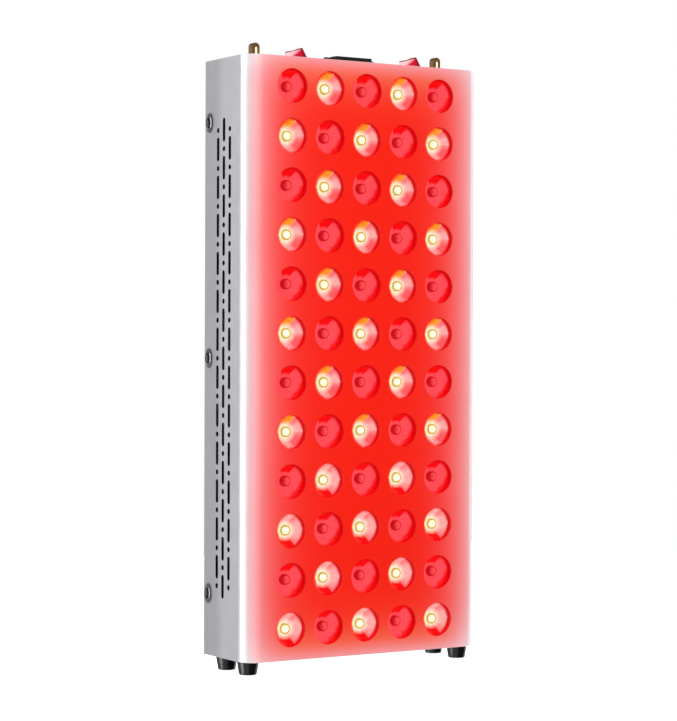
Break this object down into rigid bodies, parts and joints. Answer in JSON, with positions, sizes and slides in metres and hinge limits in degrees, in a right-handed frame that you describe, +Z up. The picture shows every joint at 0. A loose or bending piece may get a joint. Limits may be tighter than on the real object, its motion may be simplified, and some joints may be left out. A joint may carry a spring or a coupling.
{
  "type": "red light therapy panel",
  "caption": "Slim upright sheet-metal light panel with a grid of reflector lamps, slotted side vents, top rockers, mains inlet, hanging eyes, rubber feet and rear fans.",
  "frame": {"origin": "centre of the bounding box on the plane of the feet", "axes": "+Z up, -Y out of the lamp side, +X to the right of someone who faces the lamps"},
  "size_m": [0.231, 0.0728, 0.5067],
  "materials": {
    "shell_paint": "white powder coat, satin",
    "reflector": "metallised, glossy",
    "led_board": "white solder mask",
    "aluminium": "extruded and sheet, bare",
    "black_plastic": "moulded, fine satin",
    "rubber": "matt black",
    "dark_chrome": "smoked, polished",
    "brass": "aged, polished",
    "red_plastic": "translucent, glossy",
    "zinc_steel": "zinc plated"
  },
  "bodies": {
    "housing": {"front_shell": "shell_paint", "top_plate": "shell_paint", "bottom_plate": "shell_paint", "rear_cover": "shell_paint", "led_board": "led_board", "heat_sink": "aluminium", "heat_sink_rail_left": "zinc_steel", "heat_sink_rail_right": "zinc_steel", "led_driver_red": "aluminium", "led_driver_infrared": "aluminium", "inlet_socket": "black_plastic", "inlet_pin_line": "zinc_steel", "inlet_pin_neutral": "zinc_steel", "inlet_pin_earth": "zinc_steel", "reflector_module_1": "reflector", "reflector_module_2": "reflector", "reflector_module_3": "reflector", "reflector_module_4": "reflector", "reflector_module_5": "reflector", "reflector_module_6": "reflector", "fan_frame_lower": "black_plastic", "fan_screw_lower_1": "zinc_steel", "fan_screw_lower_2": "zinc_steel", "fan_screw_lower_3": "zinc_steel", "fan_screw_lower_4": "zinc_steel", "fan_frame_upper": "black_plastic", "fan_screw_upper_1": "zinc_steel", "fan_screw_upper_2": "zinc_steel", "fan_screw_upper_3": "zinc_steel", "fan_screw_upper_4": "zinc_steel", "switch_body_left": "black_plastic", "hanging_eye_left": "brass", "hanging_nut_left": "zinc_steel", "inlet_screw_left": "zinc_steel", "side_screw_left_1": "dark_chrome", "side_screw_left_2": "dark_chrome", "side_screw_left_3": "dark_chrome", "foot_front_left": "rubber", "foot_screw_front_left": "zinc_steel", "foot_rear_left": "rubber", "foot_screw_rear_left": "zinc_steel", "switch_body_right": "black_plastic", "hanging_eye_right": "brass", "hanging_nut_right": "zinc_steel", "inlet_screw_right": "zinc_steel", "side_screw_right_1": "dark_chrome", "side_screw_right_2": "dark_chrome", "side_screw_right_3": "dark_chrome", "foot_front_right": "rubber", "foot_screw_front_right": "zinc_steel", "foot_rear_right": "rubber", "foot_screw_rear_right": "zinc_steel"},
    "fan_lower": {"fan_rotor_lower": "black_plastic"},
    "fan_upper": {"fan_rotor_upper": "black_plastic"},
    "rocker_left": {"rocker_left": "red_plastic"},
    "rocker_right": {"rocker_right": "red_plastic"}
  },
  "joints": [
    {"name": "fan_lower_spin", "type": "hinge", "parent": "housing", "child": "fan_lower", "pos_m": [0, 0.02035, 0.1023], "axis": [0, 1, 0], "continuous": true},
    {"name": "fan_upper_spin", "type": "hinge", "parent": "housing", "child": "fan_upper", "pos_m": [0, 0.02035, 0.4023], "axis": [0, 1, 0], "continuous": true},
    {"name": "rocker_left_press", "type": "hinge", "parent": "housing", "child": "rocker_left", "pos_m": [-0.0553, -0.01575, 0.4922], "axis": [0, 1, 0], "range_deg": [0, 32.6]},
    {"name": "rocker_right_press", "type": "hinge", "parent": "housing", "child": "rocker_right", "pos_m": [0.0553, -0.01575, 0.4922], "axis": [0, 1, 0], "range_deg": [0, 32.6]}
  ]
}
